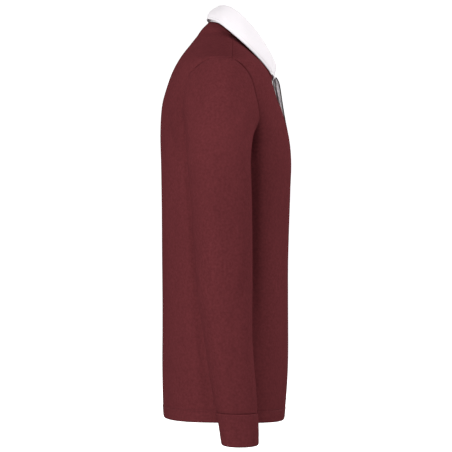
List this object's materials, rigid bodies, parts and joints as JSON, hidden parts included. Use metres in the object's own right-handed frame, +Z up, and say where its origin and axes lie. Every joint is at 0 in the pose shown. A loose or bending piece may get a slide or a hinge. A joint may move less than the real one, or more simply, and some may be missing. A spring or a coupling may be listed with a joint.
{
  "type": "rugby shirt",
  "caption": "Long-sleeved cotton jersey rugby shirt with a white twill fold-over collar and placket, plain cuffs and a turned hem, filled out as when worn.",
  "frame": {"origin": "between the wearer's shoulders, level with the side of the neck, where the garment is held up", "axes": "+Z up, -Y towards the wearer's front, -X towards the wearer's right"},
  "size_m": [0.606, 0.2398, 0.79],
  "materials": {
    "jersey": "matte maroon cotton jersey",
    "twill": "matte white cotton twill",
    "edging": "matte dark woven edging",
    "button": "plain off-white button, satin"
  },
  "bodies": {
    "root": {"front_panel": "jersey", "back_panel": "jersey", "sleeve_right": "jersey", "sleeve_left": "jersey", "cuff_right": "jersey", "cuff_left": "jersey", "collar_stand": "twill", "collar_leaf": "twill", "placket_under_band": "twill", "placket_over_band": "twill", "placket_edging": "edging", "button_top": "button", "button_middle": "button", "button_lower": "button"}
  },
  "joints": []
}
